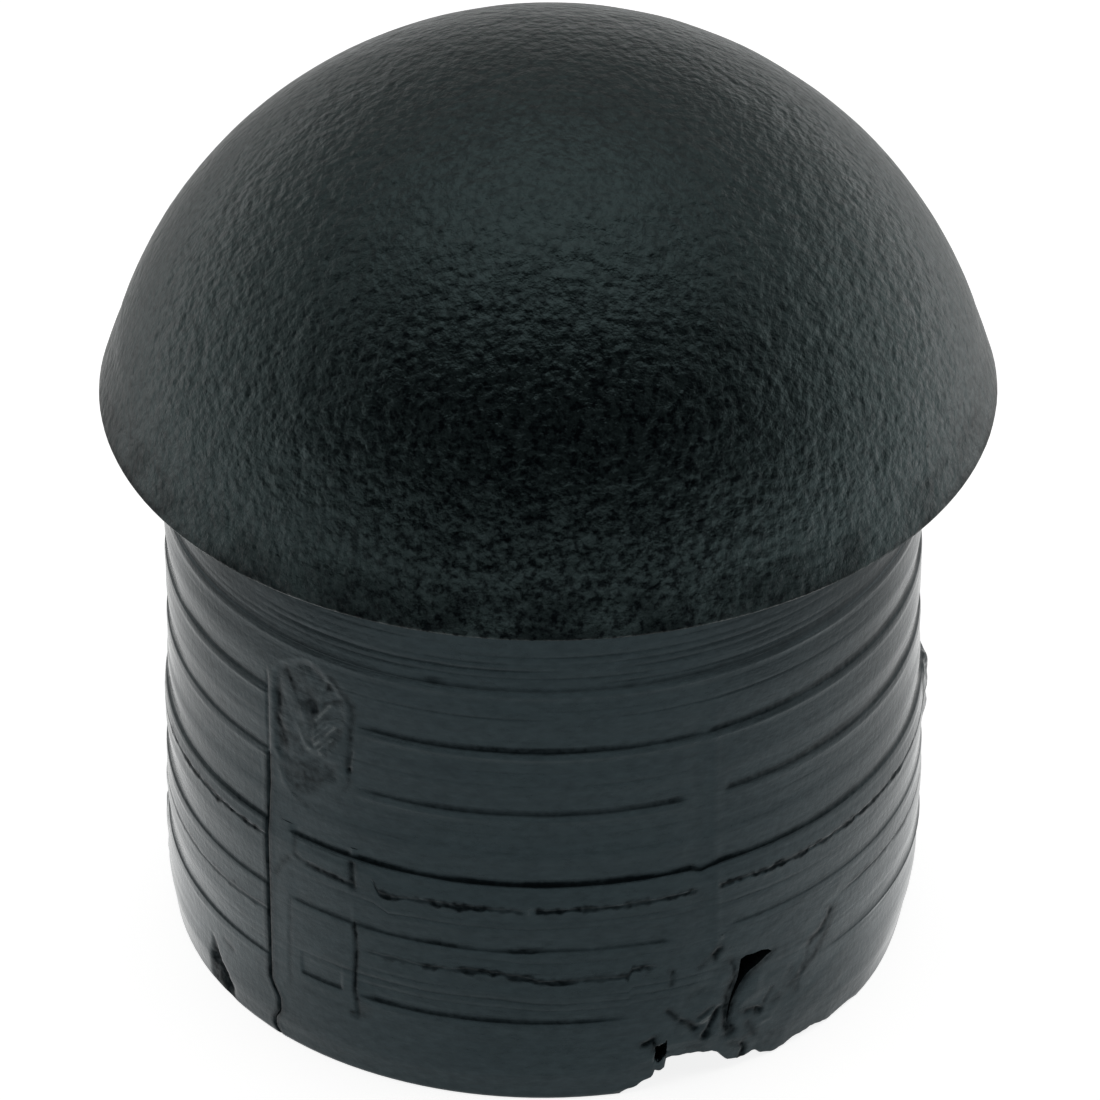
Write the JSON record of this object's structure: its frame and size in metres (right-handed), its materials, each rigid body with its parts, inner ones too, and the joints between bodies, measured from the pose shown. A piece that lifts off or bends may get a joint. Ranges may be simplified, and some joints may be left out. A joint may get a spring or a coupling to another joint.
{
  "type": "tube end cap",
  "caption": "Domed push-in end cap for a round tube, with a hollow shank of barbed bands, moulded in one piece and torn at its open end.",
  "frame": {"origin": "centre of the shank's open end, on which the cap stands", "axes": "+Z along the shank's axis through the dome, -Y the front, with the tear and the chip to its right, +X to the right"},
  "size_m": [0.0254, 0.0254, 0.0276],
  "materials": {
    "moulded_rubber": "fine grained satin on the dome, smooth satin on the shank"
  },
  "bodies": {
    "root": {"end_cap": "moulded_rubber"}
  },
  "joints": []
}
